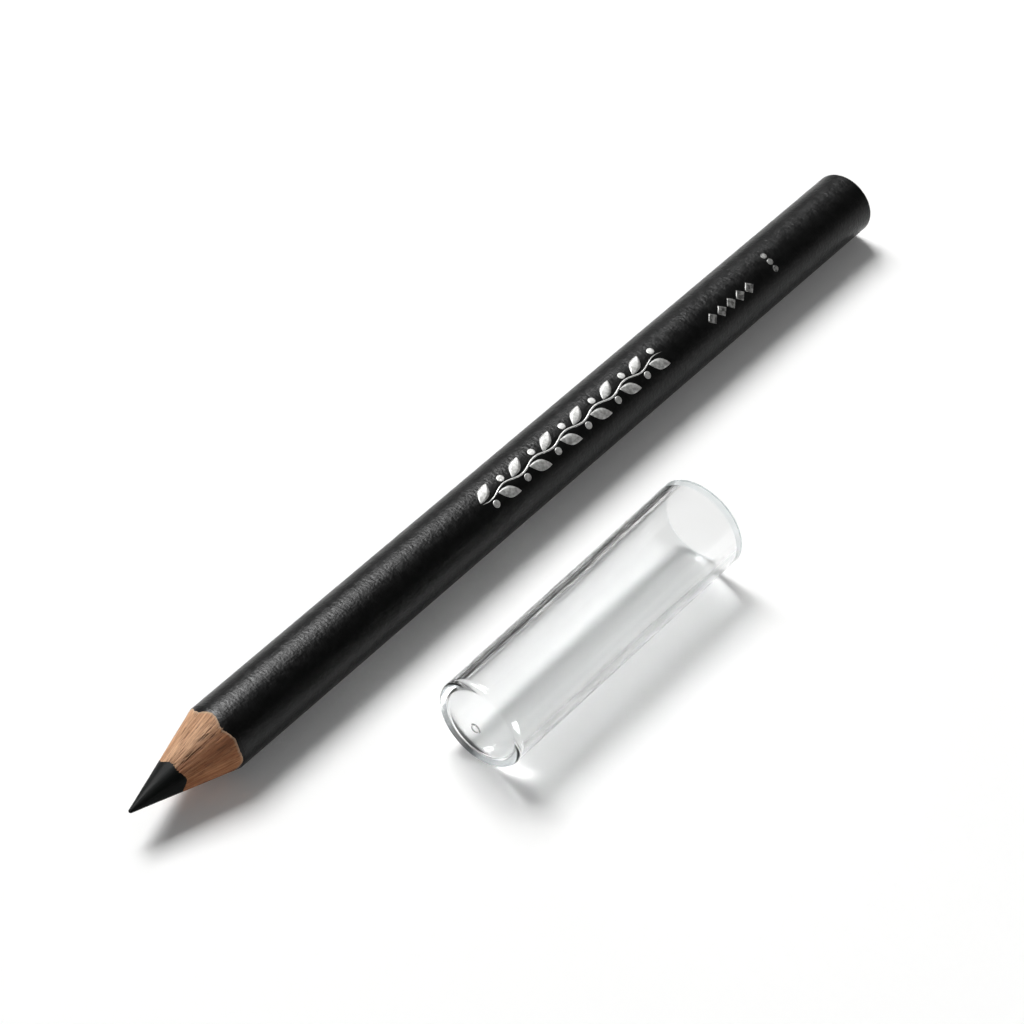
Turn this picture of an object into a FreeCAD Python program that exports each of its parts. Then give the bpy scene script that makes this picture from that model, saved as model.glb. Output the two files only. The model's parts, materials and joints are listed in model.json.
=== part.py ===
import FreeCAD, Part
import math
import os

# Wood-cased cosmetic pencil, sharpened, with its clear cap taken off and lying beside it.
# Millimetres. X runs along the pencil from its tip to its back end, Z is up, and the
# table is z = 0. The origin is on the table, below the middle of the whole object.

V = FreeCAD.Vector

# Driving dimensions of the pencil.
pencil_length = 123.6         # tip to back end
barrel_r = 3.9                # over the lacquer
lacquer = 0.145               # mean thickness of the coat on the wood
core_r = 1.955                # mean radius of the cosmetic core
point_half_angle = 16.3       # degrees, as the sharpener cuts it
tip_nose_r = 0.22             # blunt end of the core
back_rounding = 0.4           # round-over of the lacquered back rim
end_skin = 0.15               # lacquer behind the wood, past the round-over
seam_turn = 25.0              # degrees that the glued seam leans from upright towards the cap

# Where the cone cuts the wood's skin and the core's skin, the line between two materials
# waves, because neither skin is truly round: (lobes, swing in mm, turn in degrees).
wood_waves = [(3, 0.030, 53.0), (5, 0.040, 25.0), (7, 0.050, -14.0)]
core_waves = [(3, 0.035, 21.0), (5, 0.045, 18.0)]
wave_arcs = 15                # arcs that make up each waving outline

# Driving dimensions of the cap.
cap_length = 37.5             # rim of the closed end to mouth
cap_play = 0.48               # gap round the barrel in the straight part of the bore
cap_wall = 0.93               # wall at the closed end
cap_flare = 0.22              # the outside grows this much in radius towards the mouth
bore_flare = 0.24             # the bore grows this much in radius from its straight part to the mouth
cap_dome = 0.45               # the closed end bulges this much, outside and inside alike
cap_base = 0.75               # thickness of the closed end
straight_bore = 22.0          # length of the straight part, which guides the barrel
rim_rounding = 0.5            # outer edge of the closed end
floor_rounding = 0.45         # inner corner at the bottom of the bore
lip_chamfer = 0.5             # lead-in cut inside the mouth
gate_ring_r = 0.5             # mark that the mould leaves on the closed end
gate_ring_width = 0.14
gate_ring_height = 0.08

# Where the cap lies.
cap_back = 29.6               # from the pencil's tip back to the cap's closed end
cap_aside = 20.4              # from the pencil's axis to the cap's axis

# Worked out from the driving dimensions.
wood_r = barrel_r - lacquer
cap_end_r = barrel_r + cap_play + cap_wall
cap_mouth_r = cap_end_r + cap_flare
bore_r = barrel_r + cap_play
bore_mouth_r = bore_r + bore_flare
cap_tilt = math.degrees(math.atan2(cap_flare, cap_length))
pencil_y = (cap_aside + cap_mouth_r - barrel_r) / 2
tip_x = -pencil_length / 2
wood_end = pencil_length - back_rounding - end_skin
past_tip = 1.0                # the raw bars start this far in front of the tip
same = 1e-6                   # lengths closer than this are the same


def line(a, b):
    return Part.LineSegment(a, b).toShape()


def arc(a, middle, b):
    return Part.Arc(a, middle, b).toShape()


def revolved(edges):
    """Solid turned about the X axis from a closed outline of (x, radius) edges."""
    face = Part.Face(Part.Wire(edges))
    return face.revolve(V(0, 0, 0), V(1, 0, 0), 360)


def outline(points):
    """Straight edges through (x, radius) points, closed back to the first."""
    corners = [V(x, r, 0) for x, r in points]
    return [line(a, b) for a, b in zip(corners, corners[1:] + corners[:1])]


def dome(rim_x, rim_r, height):
    """Outline of a shallow dome, from its top on the axis out to its rim."""
    sphere_r = (rim_r ** 2 + height ** 2) / (2 * height)
    middle_r = rim_r / 2
    middle_x = rim_x - height + sphere_r - math.sqrt(sphere_r ** 2 - middle_r ** 2)
    return arc(V(rim_x - height, 0, 0), V(middle_x, middle_r, 0), V(rim_x, rim_r, 0))


def sharpened_form():
    """Outside of the finished pencil: nose, sharpened cone, barrel and rounded back rim."""
    angle = math.radians(point_half_angle)
    nose_end_x = tip_nose_r * (1 - math.sin(angle))
    nose_end_r = tip_nose_r * math.cos(angle)
    cone_end_x = nose_end_x + (barrel_r - nose_end_r) / math.tan(angle)
    half_nose = (math.pi / 2 - angle) / 2
    nose_middle = V(tip_nose_r * (1 - math.cos(half_nose)), tip_nose_r * math.sin(half_nose), 0)
    corner_x = pencil_length - back_rounding
    corner_r = barrel_r - back_rounding
    back_middle = V(corner_x + back_rounding * math.cos(math.pi / 4),
                    corner_r + back_rounding * math.sin(math.pi / 4), 0)
    edges = [
        arc(V(0, 0, 0), nose_middle, V(nose_end_x, nose_end_r, 0)),
        line(V(nose_end_x, nose_end_r, 0), V(cone_end_x, barrel_r, 0)),
        line(V(cone_end_x, barrel_r, 0), V(corner_x, barrel_r, 0)),
        arc(V(corner_x, barrel_r, 0), back_middle, V(pencil_length, corner_r, 0)),
        line(V(pencil_length, corner_r, 0), V(pencil_length, 0, 0)),
        line(V(pencil_length, 0, 0), V(0, 0, 0)),
    ]
    return revolved(edges)


def wavy_bar(mean_r, waves):
    """Bar along X, from in front of the tip to the end of the wood, with a waving skin."""
    points = []
    for i in range(2 * wave_arcs):
        a = math.pi * i / wave_arcs
        r = mean_r + sum(swing * math.cos(lobes * (a - math.radians(turn)))
                         for lobes, swing, turn in waves)
        points.append(V(-past_tip, r * math.cos(a), r * math.sin(a)))
    points.append(points[0])
    arcs = [arc(*points[i:i + 3]) for i in range(0, 2 * wave_arcs, 2)]
    return Part.Face(Part.Wire(arcs)).extrude(V(wood_end + past_tip, 0, 0))


def half_space(side):
    """Block on one side of the glued seam: +1 for the left half, -1 for the right."""
    reach = 2 * barrel_r
    block = Part.makeBox(pencil_length + 2 * past_tip, reach, 2 * reach, V(-past_tip, 0, -reach))
    if side < 0:
        block.translate(V(0, -reach, 0))
    block.rotate(V(0, 0, 0), V(1, 0, 0), seam_turn)
    return block


def make_pencil():
    form = sharpened_form()
    core_bar = wavy_bar(core_r, core_waves)
    wood_bar = wavy_bar(wood_r, wood_waves)
    wood = wood_bar.cut(core_bar).common(form)
    return {
        "cosmetic_core": core_bar.common(form),
        "left_wood_half": wood.common(half_space(1)),
        "right_wood_half": wood.common(half_space(-1)),
        "lacquer_coat": form.cut(wood_bar),
    }


def circular_edge(shape, x, radius):
    """The round edge of a turned solid at this distance along X and this radius."""
    for edge in shape.Edges:
        if not edge.Degenerated and isinstance(edge.Curve, Part.Circle):
            circle = edge.Curve
            if abs(circle.Center.x - x) < same and abs(circle.Radius - radius) < same:
                return edge
    raise ValueError("no round edge at %.3f, %.3f" % (x, radius))


def make_cap():
    """Clear moulded cap along X, closed end at x = 0, both walls drafted for the mould."""
    straight_end = cap_base + straight_bore
    lip_x = cap_length - lip_chamfer
    bore_lip_r = bore_r + bore_flare * (lip_x - straight_end) / (cap_length - straight_end)
    corners = [V(x, r, 0) for x, r in (
        (0, cap_end_r),
        (cap_length, cap_mouth_r),
        (cap_length, bore_mouth_r + lip_chamfer),
        (lip_x, bore_lip_r),
        (straight_end, bore_r),
        (cap_base, bore_r),
    )]
    wall = [line(a, b) for a, b in zip(corners, corners[1:])]
    thickness = line(V(cap_base - cap_dome, 0, 0), V(-cap_dome, 0, 0))
    outside, inside = dome(0, cap_end_r, cap_dome), dome(cap_base, bore_r, cap_dome)
    body = revolved([outside] + wall + [inside, thickness])
    body = body.makeFillet(rim_rounding, [circular_edge(body, 0, cap_end_r)])
    body = body.makeFillet(floor_rounding, [circular_edge(body, cap_base, bore_r)])
    ring_outer = gate_ring_r + gate_ring_width / 2
    ring_inner = gate_ring_r - gate_ring_width / 2
    ring_top = -cap_dome - gate_ring_height
    ring = revolved(outline([
        (ring_top, ring_inner),
        (ring_top, ring_outer),
        (0, ring_outer),
        (0, ring_inner),
    ]))
    return body.fuse(ring).removeSplitter()


def lay_pencil(shape):
    shape.translate(V(tip_x, pencil_y, barrel_r))
    return shape


def lay_cap(shape):
    """The cap rests along the whole of its drafted side, so its axis rises to the mouth."""
    shape.rotate(V(0, 0, 0), V(0, 1, 0), -cap_tilt)
    height = cap_end_r * math.cos(math.radians(cap_tilt))
    shape.translate(V(tip_x + cap_back, pencil_y - cap_aside, height))
    return shape


def only_solid(shape):
    """The one solid of a boolean's result."""
    solids = shape.Solids
    if len(solids) != 1:
        raise ValueError("expected one solid, got %d" % len(solids))
    return solids[0]


os.makedirs("parts", exist_ok=True)
pieces = {name: lay_pencil(only_solid(shape)) for name, shape in make_pencil().items()}
pieces["cap"] = lay_cap(only_solid(make_cap()))
for name, shape in pieces.items():
    shape.exportStep("parts/" + name + ".step")
    print(name, "volume %.1f mm3" % shape.Volume, "valid", shape.isValid())
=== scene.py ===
# %% [markdown]
# # A sharpened cosmetic pencil and its clear cap
# The object is a round wood-cased pencil under black satin lacquer, cut to a cone at one end.
# Its clear moulded cap has been taken off and lies beside it on a white table.
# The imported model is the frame: it fixes every size and place. Each piece below is built to
# those sizes and gets the finish of the real thing. Five pieces stand for the frame's nodes,
# and the foil and the table are added to them.

import json
import math

import bmesh
import bpy
from mathutils import Matrix, Vector, noise


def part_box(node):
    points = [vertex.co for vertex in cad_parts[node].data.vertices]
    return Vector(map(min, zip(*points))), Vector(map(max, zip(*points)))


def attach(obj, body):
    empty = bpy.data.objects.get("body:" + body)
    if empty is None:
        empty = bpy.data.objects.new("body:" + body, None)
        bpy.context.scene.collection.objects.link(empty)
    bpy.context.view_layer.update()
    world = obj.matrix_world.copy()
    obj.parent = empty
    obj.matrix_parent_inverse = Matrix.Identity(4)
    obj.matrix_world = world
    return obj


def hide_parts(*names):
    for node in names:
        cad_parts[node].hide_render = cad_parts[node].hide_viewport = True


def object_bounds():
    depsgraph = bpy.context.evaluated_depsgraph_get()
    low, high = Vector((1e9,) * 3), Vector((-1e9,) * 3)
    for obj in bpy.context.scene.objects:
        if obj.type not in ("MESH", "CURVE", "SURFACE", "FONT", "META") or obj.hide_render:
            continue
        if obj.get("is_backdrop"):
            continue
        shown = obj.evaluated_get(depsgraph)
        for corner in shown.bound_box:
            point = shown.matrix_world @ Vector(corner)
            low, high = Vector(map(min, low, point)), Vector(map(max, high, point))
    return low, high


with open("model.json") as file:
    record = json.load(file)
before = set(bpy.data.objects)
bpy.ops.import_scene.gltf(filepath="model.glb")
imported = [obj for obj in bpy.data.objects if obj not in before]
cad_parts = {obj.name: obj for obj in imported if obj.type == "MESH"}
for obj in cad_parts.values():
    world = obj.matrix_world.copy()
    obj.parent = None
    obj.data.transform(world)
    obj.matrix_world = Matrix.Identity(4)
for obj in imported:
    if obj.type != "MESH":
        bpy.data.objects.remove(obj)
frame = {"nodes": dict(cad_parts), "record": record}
cad_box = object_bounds()
print("nodes in the frame:", sorted(frame["nodes"]))

# %% [markdown]
# ## Sizes
# Blender counts in metres, and a pencil is easier to think of in millimetres, so `mm` turns one
# into the other. What the frame knows is read from it: the barrel's radius and the line that it
# lies on are in the record's mounts, and the tip and the cap are in the nodes' boxes.

# %% Sizes that the frame gives
mm = 0.001
mounts = {mount["name"]: mount for mount in frame["record"]["mounts"]}
barrel_r = mounts["barrel"]["dims"]["r_mm"] * mm
axis_y, axis_z = mounts["barrel"]["pos_m"][1:]
back_x = mounts["back_end"]["pos_m"][0]
tip_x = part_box("cosmetic_core")[0].x
pencil_length = back_x - tip_x
print("pencil %.1f mm long, %.1f mm across" % (pencil_length / mm, 2 * barrel_r / mm))

# %% [markdown]
# ## The skins of the wood and of the core
# A sharpener cuts a true cone. Where that cone meets a true cylinder the edge is a flat circle,
# but on a real pencil the line between lacquer and wood swings back and forth, because neither
# the wood nor the core is quite round. So each skin is a radius that changes with the angle:
# a few slow waves, some noise that makes the cut edges ragged, and more of it where the slats'
# seam comes up, because the wood tears there and chips the lacquer.
# The noise depends on the place alone, so every run gives the same edges. One function serves
# both pieces that meet at a skin, so they can't gape.

# %% The waving skins
lacquer = 0.145 * mm
core_r = 1.955 * mm
wood_r = barrel_r - lacquer
# Each wave is (lobes round the pencil, swing, turn in degrees).
wood_waves = [(3, 0.030 * mm, 53), (5, 0.040 * mm, 25), (7, 0.050 * mm, -14)]
core_waves = [(3, 0.035 * mm, 21), (5, 0.045 * mm, 18)]
ragged = 0.022 * mm
ragged_cells = 9.0
seam_lean = 25  # degrees from upright, towards the cap
seam_turn = math.radians(90 + seam_lean)
tear_width = 0.75 * mm
chips = 0.05 * mm
chip_cells = 26.0
thinnest_coat = 0.035 * mm


def waves(turn, table):
    return sum(swing * math.cos(lobes * (turn - math.radians(lean)))
               for lobes, swing, lean in table)


def ring_noise(turn, cells, along=0.0):
    """Noise that closes round the pencil. A step along it leads to another pattern."""
    return noise.noise(Vector((cells * math.cos(turn), cells * math.sin(turn), along)))


def tear_at(turn, r):
    """How torn the wood is: 1 along the upper side of the seam, 0 away from it."""
    if math.cos(turn - seam_turn) < 0:
        return 0.0
    beside = r * math.sin(turn - seam_turn)
    return math.exp(-(beside / tear_width) ** 2)


def wood_skin(turn):
    rough = ragged * ring_noise(turn, ragged_cells)
    chipped = chips * tear_at(turn, wood_r) * ring_noise(turn, chip_cells, 2.0)
    return min(wood_r + waves(turn, wood_waves) + rough + chipped, barrel_r - thinnest_coat)


def core_skin(turn):
    rough = ragged * ring_noise(turn, ragged_cells, 5.0)
    chipped = chips * tear_at(turn, core_r) * ring_noise(turn, chip_cells, 8.0)
    return core_r + waves(turn, core_waves) + rough + chipped


def reach_of(skin):
    """The least and the greatest radius of a skin, in millimetres."""
    radii = [skin(math.radians(turn)) / mm for turn in range(360)]
    return min(radii), max(radii)


print("the wood's skin lies between %.2f and %.2f mm" % reach_of(wood_skin))
print("the core's skin lies between %.2f and %.2f mm" % reach_of(core_skin))

# %% [markdown]
# ## Turned pieces
# Everything here came off a lathe, an extruder or a round mould, so every piece starts the same
# way: a few points of half a section in the plane of the axis, joined by edges, and one full
# spin about the axis. The ends that lie on the axis close into poles when their doubles merge.
# A long straight run beside a curve gets a holding point close to each end: smooth shading
# then stays flat along the run, and clear plastic bends light only where the real one does.

# %% Helpers for outlines
hold = 0.03 * mm
touching = 1e-4 * mm


def run(start, end, cuts=0):
    """Points of a straight run of (x, radius), with a holding point beside each end."""
    a, b = Vector(start), Vector(end)
    length = (b - a).length
    shares = [hold / length]
    shares += [i / (cuts + 1) for i in range(1, cuts + 1)]
    shares += [1 - hold / length]
    return [tuple(a.lerp(b, share)) for share in [0.0, *shares, 1.0]]


def bend(centre, radius, start, end, cuts=10):
    """Points of an arc of (x, radius) between two angles in degrees."""
    angles = [math.radians(start + (end - start) * i / (cuts + 1)) for i in range(cuts + 2)]
    return [(centre[0] + radius * math.cos(a), centre[1] + radius * math.sin(a)) for a in angles]


# %% Helpers for spins


def spin_outline(points, steps, closed=False):
    """A bmesh turned about the X axis from an outline of (x, radius) points."""
    bm = bmesh.new()
    corners = []
    for x, r in points:
        if not corners or (corners[-1].co - Vector((x, r, 0))).length > touching:
            corners.append(bm.verts.new((x, r, 0)))
    pairs = list(zip(corners, corners[1:]))
    if closed:
        pairs.append((corners[-1], corners[0]))
    edges = [bm.edges.new(pair) for pair in pairs]
    bmesh.ops.spin(bm, geom=corners + edges, cent=(0, 0, 0), axis=(1, 0, 0),
                   angle=math.tau, steps=steps, use_merge=True)
    bmesh.ops.remove_doubles(bm, verts=bm.verts, dist=touching)
    bmesh.ops.recalc_face_normals(bm, faces=bm.faces)
    return bm


def turn_of(point):
    return math.atan2(point.z, point.y)


def radius_of(point):
    return math.hypot(point.y, point.z)


def at(x, r, turn):
    return Vector((x, r * math.cos(turn), r * math.sin(turn)))


def lay_on_axis(bm):
    """Moves what was made about the X axis, from the tip on, to the pencil's place."""
    bmesh.ops.translate(bm, verts=bm.verts, vec=(tip_x, axis_y, axis_z))


# %% Finishing a piece


def finish_piece(bm, name, material, node=None):
    """Turns a bmesh into a smooth piece, which may stand for a node of the frame."""
    mesh = bpy.data.meshes.new(name)
    bm.to_mesh(mesh)
    bm.free()
    mesh.shade_smooth()
    mesh.materials.append(material)
    piece = bpy.data.objects.new(name, mesh)
    bpy.context.scene.collection.objects.link(piece)
    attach(piece, "root")
    if node:
        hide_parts(node)
    print(name, "has", len(mesh.vertices), "vertices and", len(mesh.polygons), "faces")


# %% [markdown]
# ## The sharpened cone
# The cone and its blunt nose are one surface that runs over the core, the wood and the lacquer.
# Two small functions go from a place along the pencil to the cone's radius and back, so each
# piece can find where its own skin comes out of the cone. Behind the cone each skin runs
# straight to the end of the wood. Its points slide along a little, so that the run starts
# where the waving skin leaves the cone and never stands out in front of it.

# %% The cone
point_angle = math.radians(16.3)
nose_r = 0.22 * mm
nose_end_x = nose_r * (1 - math.sin(point_angle))
nose_end_r = nose_r * math.cos(point_angle)
back_rounding = 0.4 * mm
end_skin = 0.15 * mm
wood_end = pencil_length - (back_rounding + end_skin)


def cone_place(r):
    return nose_end_x + (r - nose_end_r) / math.tan(point_angle)


def cone_radius(x):
    return nose_end_r + (x - nose_end_x) * math.tan(point_angle)


def on_cone(point):
    off_cone = abs(radius_of(point) - cone_radius(point.x))
    return point.x > nose_end_x - touching and off_cone < touching


def on_skin(x, skin, mean_r, turn):
    """The point of a straight run at mean_r, moved out or in to its waving skin."""
    start = cone_place(mean_r)
    slide = (cone_place(skin) - start) * (wood_end - x) / (wood_end - start)
    return at(x + slide, skin, turn)


print("the cone meets the barrel %.2f mm from the tip" % (cone_place(barrel_r) / mm))

# %% [markdown]
# ## Node helpers
# Materials are built from nodes. `feed` either wires a socket or sets its value, which keeps
# the lines that build a material short. A number that is the same all over a surface is set on
# the shader's own socket.

# %% Helpers for node trees


def feed(tree, socket, value):
    if isinstance(value, bpy.types.NodeSocket):
        tree.links.new(value, socket)
    else:
        socket.default_value = value


def add(tree, kind, inputs=None, **settings):
    """A new node, with its settings and its inputs by name or number."""
    made = tree.nodes.new(kind)
    for name, value in settings.items():
        setattr(made, name, value)
    for key, value in (inputs or {}).items():
        feed(tree, made.inputs[key], value)
    return made


def math_node(tree, operation, a, b):
    return add(tree, "ShaderNodeMath", {0: a, 1: b}, operation=operation).outputs[0]


def span(tree, value, low, high, out_low=0.0, out_high=1.0):
    """Stretches low..high to out_low..out_high with soft ends."""
    made = add(tree, "ShaderNodeMapRange",
               {"Value": value, "From Min": low, "From Max": high,
                "To Min": out_low, "To Max": out_high}, interpolation_type="SMOOTHSTEP")
    return made.outputs["Result"]


def mix_colour(tree, share, a, b):
    """A Mix node has sockets for each type of data: 6, 7 and output 2 are its colours."""
    made = add(tree, "ShaderNodeMix", data_type="RGBA")
    feed(tree, made.inputs[0], share)
    feed(tree, made.inputs[6], a)
    feed(tree, made.inputs[7], b)
    return made.outputs[2]


def new_material(name):
    material = bpy.data.materials.new(name)
    material.use_nodes = True
    return material, material.node_tree, material.node_tree.nodes["Principled BSDF"]


def millimetres_from(tree, x, y, z):
    """Object coordinates in millimetres, counted from a point."""
    coordinates = add(tree, "ShaderNodeTexCoord")
    place = add(tree, "ShaderNodeMapping", {"Vector": coordinates.outputs["Object"]})
    place.inputs["Location"].default_value = (-x / mm, -y / mm, -z / mm)
    place.inputs["Scale"].default_value = (1 / mm, 1 / mm, 1 / mm)
    return place.outputs["Vector"]


def pencil_millimetres(tree):
    return millimetres_from(tree, tip_x, axis_y, axis_z)


def tell(*materials):
    for material in materials:
        print(material.name, "is built from", len(material.node_tree.nodes), "nodes")


# %% [markdown]
# ## Streaks along the pencil
# Wood fibres, the knife's marks on the core and the faint drag in the lacquer are all noise that
# is long along the pencil and fine around it. In plain 3-D noise such streaks break up on a
# cone, because the radius changes underneath them. So the group first presses every point onto
# a circle of radius one and only then reads the noise. Four finishes use it, each with its own
# values. Its smaller sister is for round blotches: the lacquer's mottle and the foil's bald
# spots. Both put out one mask between 0 and 1.

# %% The streaks and blotches groups


def new_group(name, inputs, outputs):
    """A shader group with named sockets; inputs are (name, kind, value)."""
    group = bpy.data.node_groups.new(name, "ShaderNodeTree")
    for socket, kind, value in inputs:
        made = group.interface.new_socket(socket, in_out="INPUT", socket_type=kind)
        if value is not None:
            made.default_value = value
    for socket, kind in outputs:
        group.interface.new_socket(socket, in_out="OUTPUT", socket_type=kind)
    return group, group.nodes.new("NodeGroupInput"), group.nodes.new("NodeGroupOutput")


noise_inputs = [("Position", "NodeSocketVector", None), ("Detail", "NodeSocketFloat", 3.0),
                ("Low", "NodeSocketFloat", 0.35), ("High", "NodeSocketFloat", 0.65)]


def noise_to_mask(group, given, result, spot, scale):
    """The last step of both groups: noise at a spot, stretched from Low..High to 0..1."""
    grain = add(group, "ShaderNodeTexNoise",
                {"Vector": spot, "Scale": scale, "Detail": given.outputs["Detail"]})
    mask = span(group, grain.outputs["Fac"], given.outputs["Low"], given.outputs["High"])
    feed(group, result.inputs["Mask"], mask)


def streaks_group():
    group, given, result = new_group(
        "Streaks",
        noise_inputs + [("Around", "NodeSocketFloat", 10.0), ("Along", "NodeSocketFloat", 0.5)],
        [("Mask", "NodeSocketFloat")])
    parts = add(group, "ShaderNodeSeparateXYZ", {0: given.outputs["Position"]})
    across = add(group, "ShaderNodeCombineXYZ", {1: parts.outputs["Y"], 2: parts.outputs["Z"]})
    circle = add(group, "ShaderNodeVectorMath", {0: across.outputs[0]}, operation="NORMALIZE")
    wide = add(group, "ShaderNodeVectorMath", {0: circle.outputs[0]}, operation="SCALE")
    feed(group, wide.inputs["Scale"], given.outputs["Around"])
    along = math_node(group, "MULTIPLY", parts.outputs["X"], given.outputs["Along"])
    drawn = add(group, "ShaderNodeCombineXYZ", {0: along})
    spot = add(group, "ShaderNodeVectorMath", {0: wide.outputs[0], 1: drawn.outputs[0]},
               operation="ADD")
    noise_to_mask(group, given, result, spot.outputs[0], 1.0)
    return group


def blotches_group():
    group, given, result = new_group(
        "Blotches", noise_inputs + [("Scale", "NodeSocketFloat", 3.0)],
        [("Mask", "NodeSocketFloat")])
    noise_to_mask(group, given, result, given.outputs["Position"], given.outputs["Scale"])
    return group


streaks = streaks_group()
blotches = blotches_group()


def use_group(tree, group, values):
    return add(tree, "ShaderNodeGroup", values, node_tree=group)


def streak_mask(tree, position, around, along, detail=3.0, low=0.35, high=0.65):
    values = {"Position": position, "Around": around, "Along": along,
              "Detail": detail, "Low": low, "High": high}
    return use_group(tree, streaks, values).outputs["Mask"]


def blotch_mask(tree, position, scale, detail=4.0, low=0.35, high=0.65):
    values = {"Position": position, "Scale": scale, "Detail": detail, "Low": low, "High": high}
    return use_group(tree, blotches, values).outputs["Mask"]


for group in (streaks, blotches):
    print("group", group.name, "has", len(group.nodes), "nodes")

# %% [markdown]
# ## The core's finish
# The core is black pigment in wax. It is matt, a little greenish where light grazes it, and
# carries soft streaks from the sharpener's blade.

# %% Core material
core_deep = (0.0010, 0.0015, 0.0014, 1)
core_rubbed = (0.0032, 0.0044, 0.0040, 1)


def core_material():
    material, tree, shader = new_material("black cosmetic core")
    place = pencil_millimetres(tree)
    drag = streak_mask(tree, place, 9.0, 0.3, detail=3.0, low=0.3, high=0.7)
    fine = streak_mask(tree, place, 30.0, 0.8, detail=2.0)
    feed(tree, shader.inputs["Base Color"], mix_colour(tree, drag, core_deep, core_rubbed))
    feed(tree, shader.inputs["Roughness"], span(tree, drag, 0, 1, 0.54, 0.42))
    shader.inputs["Specular IOR Level"].default_value = 0.085
    height = math_node(tree, "ADD", drag, math_node(tree, "MULTIPLY", fine, 0.5))
    bump = add(tree, "ShaderNodeBump", {"Height": height, "Strength": 0.4, "Distance": 0.012 * mm})
    feed(tree, shader.inputs["Normal"], bump.outputs["Normal"])
    return material


core_finish = core_material()
tell(core_finish)

# %% [markdown]
# ## The core
# The real core is an extruded stick that runs the whole length of the pencil, and the
# sharpener has cut its end to a cone. The outline goes from the blunt nose along the cone, and
# then straight back inside the wood, where nothing shows. After the spin every point of the
# cone slides along it, so that the cone ends exactly at the core's waving skin, and the blade's
# shallow flats are pressed into it.

# %% Build the core
core_flats = 0.035 * mm
flats_fade = 1.5 * mm
core_steps = 240


def core_flat(turn, x):
    """Depth of the blade's flats: broad and narrow facets that fade out towards the nose."""
    facet = ring_noise(turn, 1.6, 0.12 * x / mm + 3.0)
    narrow = ring_noise(turn, 4.5, 0.25 * x / mm + 9.0)
    return core_flats * (0.7 * facet + 0.3 * narrow) * min(1.0, x / flats_fade)


def build_core():
    outline = bend((nose_r, 0), nose_r, 180, 90 + math.degrees(point_angle), cuts=6)
    outline += run((nose_end_x, nose_end_r), (cone_place(core_r), core_r), cuts=50)
    outline += run((cone_place(core_r), core_r), (wood_end, core_r))
    outline += [(wood_end, 0)]
    bm = spin_outline(outline, steps=core_steps)
    for vertex in bm.verts:
        turn, r = turn_of(vertex.co), radius_of(vertex.co)
        if on_cone(vertex.co):
            share = (r - nose_end_r) / (core_r - nose_end_r)
            r = nose_end_r + share * (core_skin(turn) - nose_end_r)
            x = cone_place(r)
            not_at_the_edge = 1 - share ** 8
            vertex.co = at(x, r - abs(core_flat(turn, x)) * not_at_the_edge, turn)
        elif vertex.co.x > nose_end_x and r > touching:
            vertex.co = on_skin(vertex.co.x, core_skin(turn), core_r, turn)
    lay_on_axis(bm)
    finish_piece(bm, "core_stick", core_finish, "cosmetic_core")


build_core()

# %% [markdown]
# ## The wood's finish
# Sharpened pencil wood shows its fibres as fine lines that run down the cone. The ground is a
# warm tan with redder and paler lanes, dark hairlines are cut pores, and a paler band, the lip,
# runs along the very edge of the lacquer. Along the glued seam the fibres are torn, which is
# darker and rougher, with cracks between them. The lip, the tear and the cracks follow the
# piece itself, so they come as attributes that the mesh carries.
# The slats come from two boards, so both finishes share one group for cut wood and differ in
# colour and in the turn of their grain. The right slat is the shaded one, and its darker, redder
# colour is painted shade.

# %% Cut wood group
wood_pore = (0.13, 0.060, 0.030, 1)
wood_torn = (0.38, 0.19, 0.10, 1)
# The dark colour in the cracks is partly the wood's own and partly painted shade in the gaps.
crack_wood_and_painted_shade = (0.10, 0.046, 0.024, 1)
wood_lip = (0.56, 0.43, 0.30, 1)
fibre_darkness = 0.62


def cut_wood_group():
    group, given, result = new_group(
        "Cut wood",
        [("Position", "NodeSocketVector", None), ("Pale", "NodeSocketColor", None),
         ("Deep", "NodeSocketColor", None), ("lip", "NodeSocketFloat", 0.0),
         ("tear", "NodeSocketFloat", 0.0), ("crack", "NodeSocketFloat", 0.0)],
        [("Color", "NodeSocketColor"), ("Roughness", "NodeSocketFloat"),
         ("Height", "NodeSocketFloat")])
    place = given.outputs["Position"]
    lanes = streak_mask(group, place, 3.5, 0.20)
    fibres = streak_mask(group, place, 15.0, 0.40, detail=5.0, low=0.42, high=0.62)
    hairs = streak_mask(group, place, 30.0, 0.9, low=0.44, high=0.64)
    pores = streak_mask(group, place, 20.0, 0.55, low=0.58, high=0.64)
    colour = mix_colour(group, lanes, given.outputs["Pale"], given.outputs["Deep"])
    darker = mix_colour(group, fibre_darkness, colour, wood_pore)
    for mask, share, tint in (
            (fibres, 0.6, darker), (hairs, 0.5, darker), (pores, 0.65, wood_pore),
            (given.outputs["tear"], 0.3, wood_torn), (given.outputs["crack"], 1.0, crack_wood_and_painted_shade),
            (given.outputs["lip"], 0.7, wood_lip)):
        colour = mix_colour(group, math_node(group, "MULTIPLY", mask, share), colour, tint)
    feed(group, result.inputs["Color"], colour)
    feed(group, result.inputs["Roughness"], span(group, fibres, 0, 1, 0.68, 0.85))
    height = math_node(group, "ADD", fibres, math_node(group, "MULTIPLY", hairs, 0.6))
    feed(group, result.inputs["Height"], math_node(group, "ADD", height, pores))
    return group


cut_wood = cut_wood_group()
print("group", cut_wood.name, "has", len(cut_wood.nodes), "nodes")

# %% Wood materials
tan_pale, tan_deep = (0.71, 0.42, 0.245, 1), (0.57, 0.31, 0.165, 1)
# The red slat's darker, redder colours are painted shade.
red_pale_painted_shade, red_deep_painted_shade = (0.50, 0.225, 0.105, 1), (0.34, 0.135, 0.06, 1)
red_grain_turn = 2.1


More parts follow.
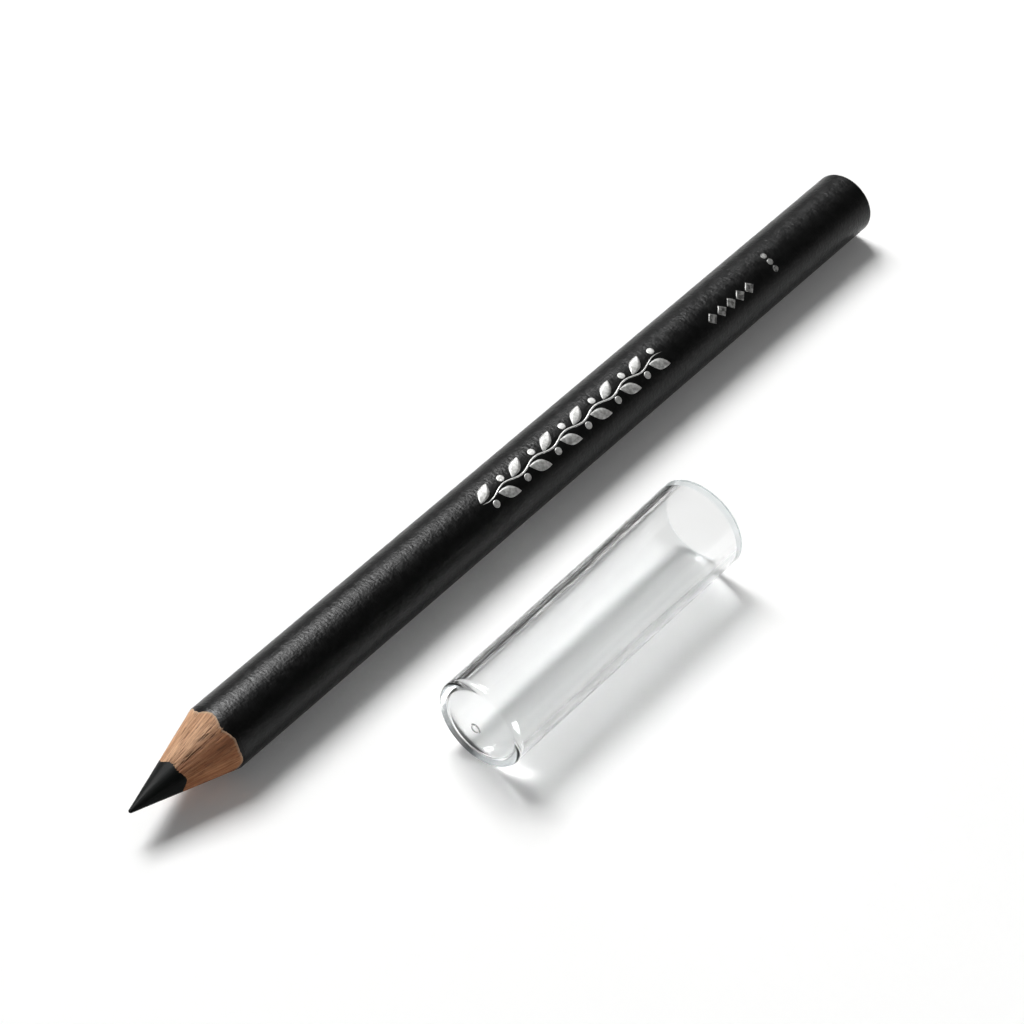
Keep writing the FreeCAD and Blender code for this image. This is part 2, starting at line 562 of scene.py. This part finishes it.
def wood_material(name, pale, deep, grain_turn):
    material, tree, shader = new_material(name)
    turned = add(tree, "ShaderNodeMapping", {"Vector": pencil_millimetres(tree)})
    turned.inputs["Rotation"].default_value = (grain_turn, 0, 0)
    values = {"Position": turned.outputs["Vector"], "Pale": pale, "Deep": deep}
    for carried in ("lip", "tear", "crack"):
        values[carried] = add(tree, "ShaderNodeAttribute", attribute_name=carried).outputs["Fac"]
    wood = use_group(tree, cut_wood, values)
    feed(tree, shader.inputs["Base Color"], wood.outputs["Color"])
    feed(tree, shader.inputs["Roughness"], wood.outputs["Roughness"])
    shader.inputs["Specular IOR Level"].default_value = 0.2
    bump = add(tree, "ShaderNodeBump",
               {"Height": wood.outputs["Height"], "Strength": 0.7, "Distance": 0.02 * mm})
    bump.invert = True
    feed(tree, shader.inputs["Normal"], bump.outputs["Normal"])
    return material


left_wood_finish = wood_material("cedar, tan slat", tan_pale, tan_deep, 0.0)
# This finish carries the painted shade of the right slat.
right_wood_painted_shade = wood_material("cedar, red slat, painted shade", red_pale_painted_shade, red_deep_painted_shade, red_grain_turn)
tell(left_wood_finish, right_wood_painted_shade)

# %% [markdown]
# ## The two wood slats
# A pencil's casing is two grooved slats, glued round the core. The seam between them is a plane
# through the axis that leans 25 degrees from upright. Each slat starts as the whole ring of wood
# and keeps the half on its side of that plane: the ring is cut there and the two faces of the
# cut are closed. The cone gets many cuts along and around, because its fibres are real grooves
# here: the nearer to the seam, the deeper they are.

# %% The surface of the cut wood
groove = 0.016 * mm
groove_cells = 15
groove_stretch = 0.30
crack_depth = 0.08 * mm
# The wood cracks where its noise passes crack_start, and gapes fully crack_slope above that.
crack_start = 0.15
crack_slope = 0.18
splinter = 0.04 * mm
lip_width = 0.30 * mm
lip_height = 0.018 * mm
# Noise beside the seam: width of its grains in mm, grains per mm along, and its layer.
long_cracks = (0.17, 0.45, 4.0)
short_cracks = (0.09, 1.4, 11.0)
splinters = (0.18, 0.9, 21.0)


def lip_at(x, edge_x):
    return max(0.0, 1 - (edge_x - x) / lip_width)


def seam_noise(turn, r, x, grains):
    """Noise in long grains that run with the pencil, beside the seam's plane."""
    width, per_mm, layer = grains
    beside = r * math.sin(turn - seam_turn) / mm
    return noise.noise(Vector((beside / width, per_mm * x / mm, layer)))


def crack_at(turn, r, x):
    """How far the wood gapes between the torn splinters, from 0 to 1."""
    long, short = seam_noise(turn, r, x, long_cracks), seam_noise(turn, r, x, short_cracks)
    open_share = (0.7 * long + 0.5 * short - crack_start) / crack_slope
    return min(1.0, max(0.0, open_share)) * tear_at(turn, r)


def splinter_at(turn, r, x):
    """How far the splinters stand up between the cracks."""
    return seam_noise(turn, r, x, splinters) * tear_at(turn, r)


def wood_depth(turn, r, x, edge_x):
    """How deep the fibres lie under the cone."""
    fine = 0.5 + ring_noise(turn, groove_cells, groove_stretch * x / mm)
    torn = crack_depth * crack_at(turn, r, x) - splinter * splinter_at(turn, r, x)
    return groove * fine + torn - lip_height * lip_at(x, edge_x)


# %% Build the slats
cone_steps = 480
cone_cuts = 90
lip_fade = 1.5


def ring_of_wood():
    front, edge = (cone_place(core_r), core_r), (cone_place(wood_r), wood_r)
    outline = run(front, edge, cuts=cone_cuts)
    outline += run(edge, (wood_end, wood_r))
    outline += run((wood_end, core_r), front)[:-1]
    bm = spin_outline(outline, steps=cone_steps, closed=True)
    lip = bm.verts.layers.float.new("lip")
    tear = bm.verts.layers.float.new("tear")
    crack = bm.verts.layers.float.new("crack")
    for vertex in bm.verts:
        turn, r = turn_of(vertex.co), radius_of(vertex.co)
        inside, outside = core_skin(turn), wood_skin(turn)
        if on_cone(vertex.co):
            share = (r - core_r) / (wood_r - core_r)
            r = inside + share * (outside - inside)
            x = cone_place(r)
            edge_x = cone_place(outside)
            vertex[lip] = lip_at(x, edge_x) ** lip_fade
            vertex[tear] = tear_at(turn, r)
            vertex[crack] = crack_at(turn, r, x)
            vertex.co = at(x, r - wood_depth(turn, r, x, edge_x), turn)
        elif r < (core_r + wood_r) / 2:
            vertex.co = on_skin(vertex.co.x, inside, core_r, turn)
        else:
            vertex.co = on_skin(vertex.co.x, outside, wood_r, turn)
    return bm


wood_ring = ring_of_wood()


def build_slat(name, node, side, material):
    bm = wood_ring.copy()
    across = Vector((0, -math.sin(seam_turn), math.cos(seam_turn))) * side
    everything = list(bm.verts) + list(bm.edges) + list(bm.faces)
    cut = bmesh.ops.bisect_plane(bm, geom=everything, dist=touching, plane_co=(0, 0, 0),
                                 plane_no=across, clear_outer=True)
    rim = [part for part in cut["geom_cut"] if isinstance(part, bmesh.types.BMEdge)]
    bmesh.ops.holes_fill(bm, edges=rim, sides=0)
    lay_on_axis(bm)
    finish_piece(bm, name, material, node)


build_slat("left_slat", "left_wood_half", 1, left_wood_finish)
build_slat("right_slat", "right_wood_half", -1, right_wood_painted_shade)
wood_ring.free()

# %% [markdown]
# ## The lacquer's finish
# The barrel is dipped in black lacquer. It isn't a mirror: under the light it breaks into a fine
# mottle, like leather, and into faint ripples across the barrel, because the coat has dried over
# the grain of the wood while the pencil turned. Small bumps and a roughness that wanders a
# little do this. The ground is almost pure black.

# %% Lacquer material
lacquer_deep = (0.0010, 0.0011, 0.0011, 1)
lacquer_raised = (0.0030, 0.0031, 0.0030, 1)


def lacquer_material():
    material, tree, shader = new_material("satin black lacquer")
    place = pencil_millimetres(tree)
    fine = blotch_mask(tree, place, 3.4, low=0.3, high=0.7)
    patches = blotch_mask(tree, place, 1.1, detail=2.0)
    ripple = streak_mask(tree, place, 4.0, 2.6)
    drag = streak_mask(tree, place, 16.0, 0.25)
    colour = mix_colour(tree, fine, lacquer_deep, lacquer_raised)
    feed(tree, shader.inputs["Base Color"], colour)
    feed(tree, shader.inputs["Roughness"], span(tree, patches, 0, 1, 0.29, 0.36))
    shader.inputs["Specular IOR Level"].default_value = 0.18
    height = fine
    for mask, share in ((patches, 0.6), (drag, 0.3), (ripple, 0.8)):
        height = math_node(tree, "ADD", height, math_node(tree, "MULTIPLY", mask, share))
    bump = add(tree, "ShaderNodeBump",
               {"Height": height, "Strength": 0.7, "Distance": 0.0145 * mm})
    feed(tree, shader.inputs["Normal"], bump.outputs["Normal"])
    return material


lacquer_finish = lacquer_material()
tell(lacquer_finish)

# %% [markdown]
# ## The lacquer coat
# The coat is a thin shell: over the barrel, round the back rim and across the back face. At the
# front the sharpener cuts through it, which leaves a narrow black band on the cone. The spin
# makes the shell closed, and the vertices that lie against the wood follow the wood's skin.

# %% Build the lacquer coat


def build_lacquer():
    corner_x = pencil_length - back_rounding
    corner_r = barrel_r - back_rounding
    cut_x = cone_place(barrel_r)
    outline = run((pencil_length, 0), (pencil_length, corner_r), cuts=3)
    outline += bend((corner_x, corner_r), back_rounding, 0, 90)
    outline += run((corner_x, barrel_r), (cut_x, barrel_r), cuts=40)
    outline += run((cut_x, barrel_r), (cone_place(wood_r), wood_r), cuts=2)
    outline += run((cone_place(wood_r), wood_r), (wood_end, wood_r))
    outline += [(wood_end, 0)]
    bm = spin_outline(outline, steps=cone_steps)
    for vertex in bm.verts:
        turn, r = turn_of(vertex.co), radius_of(vertex.co)
        if on_cone(vertex.co):
            share = (r - wood_r) / lacquer
            r = wood_skin(turn) + share * (barrel_r - wood_skin(turn))
            vertex.co = at(cone_place(r), r, turn)
        elif abs(r - wood_r) < touching:
            vertex.co = on_skin(vertex.co.x, wood_skin(turn), wood_r, turn)
    lay_on_axis(bm)
    finish_piece(bm, "lacquer_skin", lacquer_finish, "lacquer_coat")


build_lacquer()

# %% [markdown]
# ## Silver foil
# The barrel carries a hot-stamped ornament: silver foil pressed into the lacquer through a
# heated die. Its face is matt and softly clouded, since the foil sticks better in some spots
# than in others, so a noise goes between bright metal and a duller, thinner layer. The small
# shapes near the back are printed more thinly and look grey.

# %% Foil material


def foil_material(name, bright, dull):
    material, tree, shader = new_material(name)
    place = pencil_millimetres(tree)
    stuck = blotch_mask(tree, place, 2.2, low=0.34, high=0.68)
    feed(tree, shader.inputs["Base Color"], mix_colour(tree, stuck, dull, bright))
    feed(tree, shader.inputs["Roughness"], span(tree, stuck, 0, 1, 0.5, 0.36))
    shader.inputs["Metallic"].default_value = 0.4
    bump = add(tree, "ShaderNodeBump", {"Height": stuck, "Strength": 0.6, "Distance": 0.012 * mm})
    feed(tree, shader.inputs["Normal"], bump.outputs["Normal"])
    return material


silver_foil = foil_material("silver foil", (0.62, 0.62, 0.61, 1), (0.32, 0.32, 0.31, 1))
thin_foil = foil_material("thin silver foil", (0.34, 0.34, 0.33, 1), (0.07, 0.07, 0.068, 1))
tell(silver_foil, thin_foil)

# %% [markdown]
# ## The foil ornament
# A trailing stem with leaves and berries runs along the barrel, and behind it stand a row of
# lozenges and three dots. Every shape is the same square grid, stretched by a small function and
# wrapped round the barrel. A second layer extruded from it closes the patch, which stands a
# few thousandths of a millimetre proud of the lacquer and is rooted a little below its skin.

# %% Shapes of the foil
foil_proud = 0.008 * mm
foil_root = 0.012 * mm
leaf_fullness = 1.7
stem_ink = 0.3  # share of the stem's height that its bar takes up
stem_swings = 6
stem_taper = 6


def leaf_shape(u, v):
    return u, v * (1 - abs(u) ** leaf_fullness)


def disc_shape(u, v):
    return u * math.sqrt(1 - v * v / 2), v * math.sqrt(1 - u * u / 2)


def lozenge_shape(u, v):
    return (u + v) / 2, (v - u) / 2


def stem_shape(u, v):
    """A thin bar that swings up and down and tapers at its ends."""
    swing = math.sin(stem_swings * math.pi * u)
    return u, stem_ink * v * (1 - u ** stem_taper) + (1 - stem_ink) * swing


def stamp(bm, shape, place, turn, length, height, lean=0.0, cuts=(14, 4)):
    """Presses one patch of foil onto the barrel, its middle at a place along it and a turn."""
    made = bmesh.ops.create_grid(bm, x_segments=cuts[0], y_segments=cuts[1], size=1)
    low = made["verts"]
    faces = list({face for vertex in low for face in vertex.link_faces})
    top = bmesh.ops.extrude_face_region(bm, geom=faces, use_keep_orig=True)["geom"]
    top = [part for part in top if isinstance(part, bmesh.types.BMVert)]
    for layer, r in ((low, barrel_r - foil_root), (top, barrel_r + foil_proud)):
        for vertex in layer:
            a, b = shape(vertex.co.x, vertex.co.y)
            a, b = a * length / 2, b * height / 2
            along = a * math.cos(lean) - b * math.sin(lean)
            around = a * math.sin(lean) + b * math.cos(lean)
            vertex.co = at(place + along, r, turn + around / barrel_r)
    bmesh.ops.remove_doubles(bm, verts=low, dist=touching)
    bmesh.ops.remove_doubles(bm, verts=top, dist=touching)


# %% Build the sprig
sprig_start, sprig_end = 53.0 * mm, 85.0 * mm
sprig_turn = math.radians(115.5)
stem_height = 0.8 * mm
leaves = 2 * stem_swings
leaf_length, leaf_width = 3.0 * mm, 1.35 * mm
leaf_aside, leaf_lean = 0.88 * mm, math.radians(30)
berry_size = 0.9 * mm
berry_aside, berry_behind = 0.95 * mm, 0.3 * mm


def build_sprig():
    bm = bmesh.new()
    length = sprig_end - sprig_start
    middle = (sprig_start + sprig_end) / 2
    stamp(bm, stem_shape, middle, sprig_turn, length, stem_height, cuts=(160, 2))
    for i in range(leaves):
        side = 1 if i % 2 else -1
        place = sprig_start + (i + 0.5) * length / leaves
        leaf_turn = sprig_turn + side * leaf_aside / barrel_r
        berry_turn = sprig_turn - side * berry_aside / barrel_r
        stamp(bm, leaf_shape, place, leaf_turn, leaf_length, leaf_width, lean=side * leaf_lean)
        stamp(bm, disc_shape, place + berry_behind, berry_turn, berry_size, berry_size,
              cuts=(8, 8))
    lay_on_axis(bm)
    bmesh.ops.recalc_face_normals(bm, faces=bm.faces)
    finish_piece(bm, "foil_sprig", silver_foil)


build_sprig()

# %% Build the lozenges and dots
lozenges = 5
lozenge_start, lozenge_pitch = 93.6 * mm, 1.75 * mm
lozenge_turn = math.radians(128.5)
lozenge_length, lozenge_width = 1.6 * mm, 1.5 * mm
dot_place, dot_size = 105.5 * mm, 0.8 * mm
dot_turns = [math.radians(degrees) for degrees in (103, 118, 133)]


def build_lozenges():
    bm = bmesh.new()
    for i in range(lozenges):
        stamp(bm, lozenge_shape, lozenge_start + i * lozenge_pitch, lozenge_turn,
              lozenge_length, lozenge_width, cuts=(6, 6))
    for dot_turn in dot_turns:
        stamp(bm, disc_shape, dot_place, dot_turn, dot_size, dot_size, cuts=(8, 8))
    lay_on_axis(bm)
    bmesh.ops.recalc_face_normals(bm, faces=bm.faces)
    finish_piece(bm, "foil_lozenges", thin_foil)


build_lozenges()

# %% [markdown]
# ## The clear cap's finish
# The cap is injection-moulded clear styrene or acrylic. Its look is nearly all refraction: the
# white table shows through it, and dark lines stand where a wall is seen edge on. Plain
# transmission with the plastic's index and a slightly grey tint does that. At the closed end
# one looks down the whole length of the wall, and so much plastic looks a cloudy blue-grey.
# All the light that comes that way enters at the lip. So an attribute marks the lip, which
# gets a rough skin, a deep blue-grey tint that is painted shade for that long path through the
# plastic, and a glow that is painted light for the light that the wall scatters.

# %% Sizes of the cap
cap_low, cap_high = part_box("cap")
cap_length = 37.5 * mm
cap_end_r = 5.31 * mm
cap_mouth_r = (cap_high.y - cap_low.y) / 2
bore_r = 4.38 * mm
bore_mouth_r = 4.62 * mm
cap_dome = 0.45 * mm
cap_base = 0.75 * mm
straight_bore = 22.0 * mm
rim_rounding = 0.5 * mm
floor_rounding = 0.45 * mm
lip_chamfer = 0.5 * mm
gate_ring_r = 0.5 * mm
gate_ring_width = 0.14 * mm
gate_ring_height = 0.08 * mm
cap_x = cap_low.x + cap_dome + gate_ring_height
cap_y = (cap_low.y + cap_high.y) / 2
print("cap %.1f mm long, %.1f mm across its mouth" % (cap_length / mm, 2 * cap_mouth_r / mm))

# %% Cap material
# On the lip the deep tint is painted shade and the glow is painted light.
cap_clear, cap_lip_painted_shade = (0.905, 0.91, 0.91, 1), (0.12, 0.135, 0.14, 1)
no_glow, lip_painted_glow = (0, 0, 0, 1), (0.33, 0.36, 0.365, 1)


def cap_material():
    material, tree, shader = new_material("clear moulded plastic")
    place = millimetres_from(tree, cap_x, cap_y, cap_end_r)
    drag = streak_mask(tree, place, 9.0, 0.06, detail=3.0, low=0.3, high=0.7)
    lip = add(tree, "ShaderNodeAttribute", attribute_name="lip").outputs["Fac"]
    # Where the lip is marked, the base colour paints shade and the emission paints a glow.
    feed(tree, shader.inputs["Base Color"], mix_colour(tree, lip, cap_clear, cap_lip_painted_shade))
    feed(tree, shader.inputs["Roughness"], span(tree, lip, 0, 1, 0.05, 0.5))
    feed(tree, shader.inputs["Emission Color"], mix_colour(tree, lip, no_glow, lip_painted_glow))
    shader.inputs["Emission Strength"].default_value = 1.0
    shader.inputs["IOR"].default_value = 1.5
    shader.inputs["Transmission Weight"].default_value = 1.0
    along = add(tree, "ShaderNodeSeparateXYZ", {0: place}).outputs["X"]
    drag = math_node(tree, "MULTIPLY", drag, span(tree, along, 1.5, 4.0))
    bump = add(tree, "ShaderNodeBump", {"Height": drag, "Strength": 0.5, "Distance": 0.01 * mm})
    feed(tree, shader.inputs["Normal"], bump.outputs["Normal"])
    return material


cap_finish = cap_material()
tell(cap_finish)

# %% [markdown]
# ## The cap
# One outline holds the whole moulding: the thin domed end with its gate mark and rounded rim,
# the outside that opens a little towards the mouth, the thin lip with its lead-in, the bore and
# its floor, which follows the dome. It is spun about its own axis, then leaned by its taper,
# because it rests on the table along the whole of its side, and moved to its place.

# %% Outline of the cap


def dome(rim_x, rim_r, height, start, end, cuts):
    """Points of a shallow dome between two radii."""
    sphere_r = (rim_r ** 2 + height ** 2) / (2 * height)
    radii = [start + (end - start) * i / (cuts + 1) for i in range(cuts + 2)]
    return [(rim_x - height + sphere_r - math.sqrt(sphere_r ** 2 - r ** 2), r) for r in radii]


def cap_outline():
    straight_end = cap_base + straight_bore
    lip_x = cap_length - lip_chamfer
    slope = (bore_mouth_r - bore_r) / (cap_length - straight_end)
    bore_lip_r = bore_r + slope * (lip_x - straight_end)
    taper = math.degrees(math.atan2(cap_mouth_r - cap_end_r, cap_length))
    rim_r = cap_end_r - rim_rounding
    floor_r = bore_r - floor_rounding
    ring_in, ring_out = gate_ring_r - gate_ring_width / 2, gate_ring_r + gate_ring_width / 2
    outline = dome(0, rim_r, cap_dome, 0, ring_in, cuts=3)
    ring_x = outline[-1][0]
    outline += bend((ring_x, gate_ring_r), gate_ring_width / 2, 270, 90, cuts=7)
    outline += dome(0, rim_r, cap_dome, ring_out, rim_r, cuts=24)
    outline += bend((rim_rounding, rim_r), rim_rounding, 180, 90 + taper, cuts=12)
    outline += run(outline[-1], (cap_length, cap_mouth_r), cuts=12)
    outline += run((cap_length, cap_mouth_r), (cap_length, bore_mouth_r + lip_chamfer))
    outline += run((cap_length, bore_mouth_r + lip_chamfer), (lip_x, bore_lip_r))
    outline += run((lip_x, bore_lip_r), (straight_end, bore_r), cuts=4)
    outline += run((straight_end, bore_r), (cap_base + floor_rounding, bore_r), cuts=6)
    outline += bend((cap_base + floor_rounding, floor_r), floor_rounding, 90, 180)
    outline += dome(cap_base, floor_r, cap_dome, floor_r, 0, cuts=20)
    return outline


# %% Build the cap
cap_steps = 224
chamfer_share = 0.6
outer_margin = 0.2 * mm  # points nearer to the mouth's radius are the outer wall's


def build_cap():
    bm = spin_outline(cap_outline(), steps=cap_steps)
    lip = bm.verts.layers.float.new("lip")
    for vertex in bm.verts:
        on_end = vertex.co.x > cap_length - touching
        near_end = vertex.co.x > cap_length - lip_chamfer
        inside = radius_of(vertex.co) < cap_mouth_r - outer_margin
        # The lip mark carries the painted shade and the painted glow: full on the end face, partly
        # on the chamfer's inside.
        vertex[lip] = 1.0 if on_end else chamfer_share if near_end and inside else 0.0
    tilt = math.atan2(cap_mouth_r - cap_end_r, cap_length)
    bmesh.ops.rotate(bm, verts=bm.verts, cent=(0, 0, 0), matrix=Matrix.Rotation(-tilt, 3, "Y"))
    bmesh.ops.translate(bm, verts=bm.verts, vec=(cap_x, cap_y, cap_end_r * math.cos(tilt)))
    finish_piece(bm, "clear_cap", cap_finish, "cap")


build_cap()

# %% [markdown]
# ## The table
# A wide white disc. It takes the soft shadows, and it is white because its colour is nearly
# white and the lamps light it to just about that. A touch of glow for the camera, for mirror
# rays and for rays through the plastic lifts what is left to a clean white.

# %% Build the table
table_reach = 3.0
table_gap = 0.01 * mm
table_white = (0.93, 0.93, 0.925, 1)
table_glow = 0.07


def table_material():
    material, tree, shader = new_material("white table")
    shader.inputs["Base Color"].default_value = table_white
    shader.inputs["Roughness"].default_value = 0.9
    shader.inputs["Specular IOR Level"].default_value = 0.0
    path = add(tree, "ShaderNodeLightPath")
    seen = math_node(tree, "MAXIMUM", path.outputs["Is Camera Ray"], path.outputs["Is Glossy Ray"])
    seen = math_node(tree, "MAXIMUM", seen, path.outputs["Is Transmission Ray"])
    shader.inputs["Emission Color"].default_value = (1, 1, 1, 1)
    feed(tree, shader.inputs["Emission Strength"], math_node(tree, "MULTIPLY", seen, table_glow))
    return material


def build_table():
    bm = bmesh.new()
    bmesh.ops.create_circle(bm, cap_ends=True, segments=64, radius=table_reach)
    bmesh.ops.translate(bm, verts=bm.verts, vec=(0, 0, -table_gap))
    mesh = bpy.data.meshes.new("table_top")
    bm.to_mesh(mesh)
    bm.free()
    mesh.materials.append(table_material())
    table = bpy.data.objects.new("table_top", mesh)
    bpy.context.scene.collection.objects.link(table)
    table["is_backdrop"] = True
    return table


table = build_table()
print("the table is %.0f m across" % table.dimensions.x)

# %% [markdown]
# ## Light
# The studio is a dim room, brighter behind the pencil than in front of it, with a light grey
# band of wall round the horizon, and one large soft lamp high behind the pencil, a little to
# its left. The lamp gives the pencil its long highlight, the soft shadow towards the viewer
# and the bright lanes in the cap. Those lanes are light that has gone through the cap's wall,
# so the rays may bounce more often than is usual and aren't blurred or cut off.
# A white card hangs above the lamp and only shiny surfaces show it: it widens the highlight
# on the lacquer and leaves the table's light as it is.

# %% Lamps and room
lamp_turn = math.radians(68)
lamp_rise = math.radians(53.5)
lamp_distance = 3.0
lamp_size = 1.35
lamp_power = 101.0
card_rise = math.radians(66)
card_size = 1.8
card_power = 160.0
room_front = 0.09
room_back = 0.23
room_blend = 0.7
wall_grey = 0.35
wall_height = 0.18
wall_edge = 0.4


def add_lamp(name, turn, rise, distance, size, power):
    """A square soft lamp that looks at the middle of the table."""
    data = bpy.data.lights.new(name, "AREA")
    data.shape = "SQUARE"
    data.size = size
    data.energy = power
    lamp = bpy.data.objects.new(name, data)
    flat = math.cos(rise)
    way = Vector((math.cos(turn) * flat, math.sin(turn) * flat, math.sin(rise)))
    lamp.location = way * distance
    lamp.rotation_euler = way.to_track_quat("Z", "Y").to_euler()
    lamp.visible_camera = False
    bpy.context.scene.collection.objects.link(lamp)
    return lamp


def build_room():
    world = bpy.data.worlds.new("studio")
    bpy.context.scene.world = world
    world.use_nodes = True
    tree = world.node_tree
    way = add(tree, "ShaderNodeTexCoord").outputs["Generated"]
    parts = add(tree, "ShaderNodeSeparateXYZ", {0: way})
    level = span(tree, parts.outputs["Y"], -room_blend, room_blend, room_front, room_back)
    ceiling = add(tree, "ShaderNodeCombineColor", {0: level, 1: level, 2: level}).outputs[0]
    wall = span(tree, parts.outputs["Z"],
                wall_height * (1 - wall_edge), wall_height * (1 + wall_edge), 1.0, 0.0)
    seen = mix_colour(tree, wall, ceiling, (wall_grey, wall_grey, wall_grey, 1))
    feed(tree, tree.nodes["Background"].inputs["Color"], seen)


def let_light_bounce():
    """Light runs to and fro inside the cap's wall and through it onto the table, unblurred."""
    rays = bpy.context.scene.cycles
    rays.max_bounces = 24
    rays.glossy_bounces = 16
    rays.transmission_bounces = 24
    rays.blur_glossy = 0.0
    rays.sample_clamp_indirect = 0.0


build_room()
let_light_bounce()
key_lamp = add_lamp("key_lamp", lamp_turn, lamp_rise, lamp_distance, lamp_size, lamp_power)
white_card = add_lamp("white_card", lamp_turn, card_rise, lamp_distance, card_size, card_power)
white_card.visible_diffuse = False
white_card.visible_transmission = False
for lamp in (key_lamp, white_card):
    print(lamp.name, "is %.2f m wide and gives %.0f W" % (lamp.data.size, lamp.data.energy))

# %% [markdown]
# ## Camera
# A long lens looks down on the pencil from its tip side. The place is given as the point that
# the camera aims at, the direction in which it looks and how far away it stands.

# %% Camera
aim = Vector((-1.55, 10.98, 0)) * mm
camera_heading = math.radians(38.93)
camera_pitch = math.radians(43.97)
camera_distance = 368.65 * mm
camera_lens = 118.04

camera_data = bpy.data.cameras.new("camera")
camera_data.lens = camera_lens
camera_data.clip_start = 10 * mm
camera = bpy.data.objects.new("camera", camera_data)
camera.rotation_euler = (math.pi / 2 - camera_pitch, 0, camera_heading - math.pi / 2)
look = camera.rotation_euler.to_matrix() @ Vector((0, 0, -1))
camera.location = aim - look * camera_distance
bpy.context.scene.collection.objects.link(camera)
bpy.context.scene.camera = camera
bpy.context.scene.view_settings.view_transform = "Standard"
print("camera at", [round(value / mm, 1) for value in camera.location], "mm")

# %% [markdown]
# ## How far the model grows
# The dressed model's box is compared with the frame's box, and how far it grows past it is
# printed.

# %% How far the model grows past the frame's box
seen_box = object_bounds()
growth = max(max(cad_box[0][i] - seen_box[0][i], seen_box[1][i] - cad_box[1][i])
             for i in range(3))
print("grows past the frame's box by %.3f mm" % (growth / mm))
